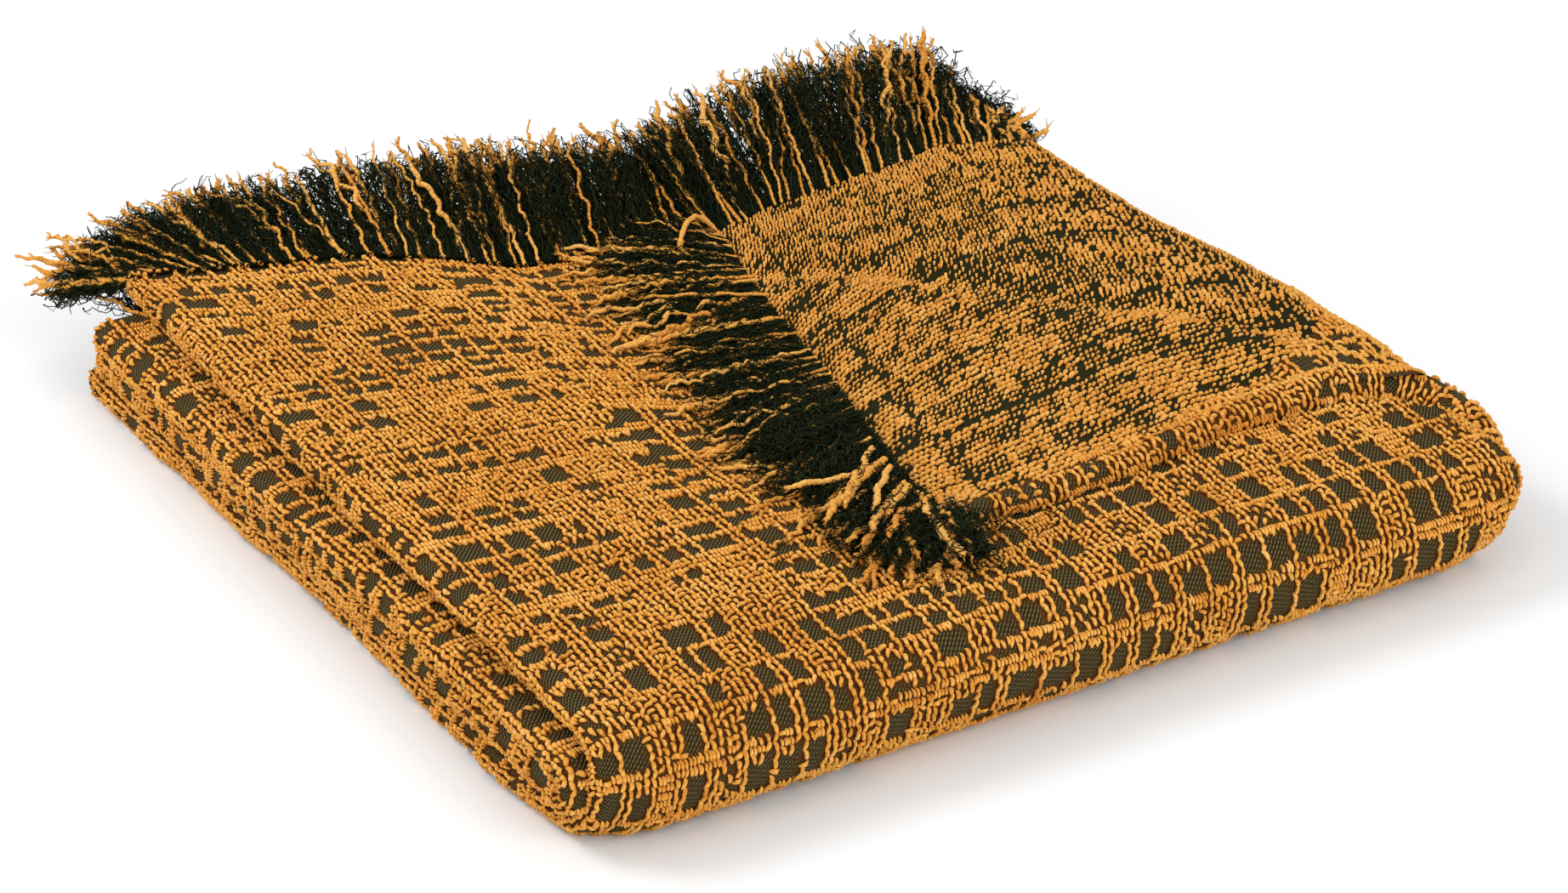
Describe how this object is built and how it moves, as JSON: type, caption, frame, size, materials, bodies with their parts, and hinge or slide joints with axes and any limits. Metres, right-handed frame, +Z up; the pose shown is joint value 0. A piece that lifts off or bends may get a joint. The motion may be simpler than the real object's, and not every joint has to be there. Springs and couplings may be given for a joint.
{
  "type": "folded throw blanket",
  "caption": "Chunky two-faced woven throw blanket with a fringe on its edges, folded into a flat stack with one layer turned back over the top.",
  "frame": {"origin": "middle of the underside of the folded stack, on the surface that it rests on", "axes": "+X along the rounded front fold, from the left end to the right end; +Y from the front fold to the fringed back; +Z up through the layers"},
  "size_m": [0.478, 0.4889, 0.1053],
  "materials": {
    "patchwork_face": "matte chunky double weave: a golden orange yarn network over dark olive brown twill patches",
    "heathered_face": "matte heathered reverse of the double weave: golden orange floats over near-black green",
    "golden_yarn": "soft twisted golden orange yarn, slightly fuzzy",
    "dark_yarn": "fine curly near-black green yarn, matte"
  },
  "bodies": {
    "root": {"back_fold": "patchwork_face", "back_fringe_dark_yarns": "dark_yarn", "back_fringe_twisted_strands": "golden_yarn", "bottom_panel": "patchwork_face", "flap_back_fringe_dark_yarns": "dark_yarn", "flap_back_fringe_twisted_strands": "golden_yarn", "flap_front_cuff": "patchwork_face", "flap_side_fold": "heathered_face", "flap_side_fringe_dark_yarns": "dark_yarn", "flap_side_fringe_twisted_strands": "golden_yarn", "front_fold": "patchwork_face", "inner_end_fringe_dark_yarns": "dark_yarn", "inner_end_fringe_twisted_strands": "golden_yarn", "inner_front_fold": "patchwork_face", "loose_yarn_loop": "golden_yarn", "second_panel": "patchwork_face", "third_panel": "patchwork_face", "top_panel": "patchwork_face", "turned_back_flap": "heathered_face"}
  },
  "joints": []
}
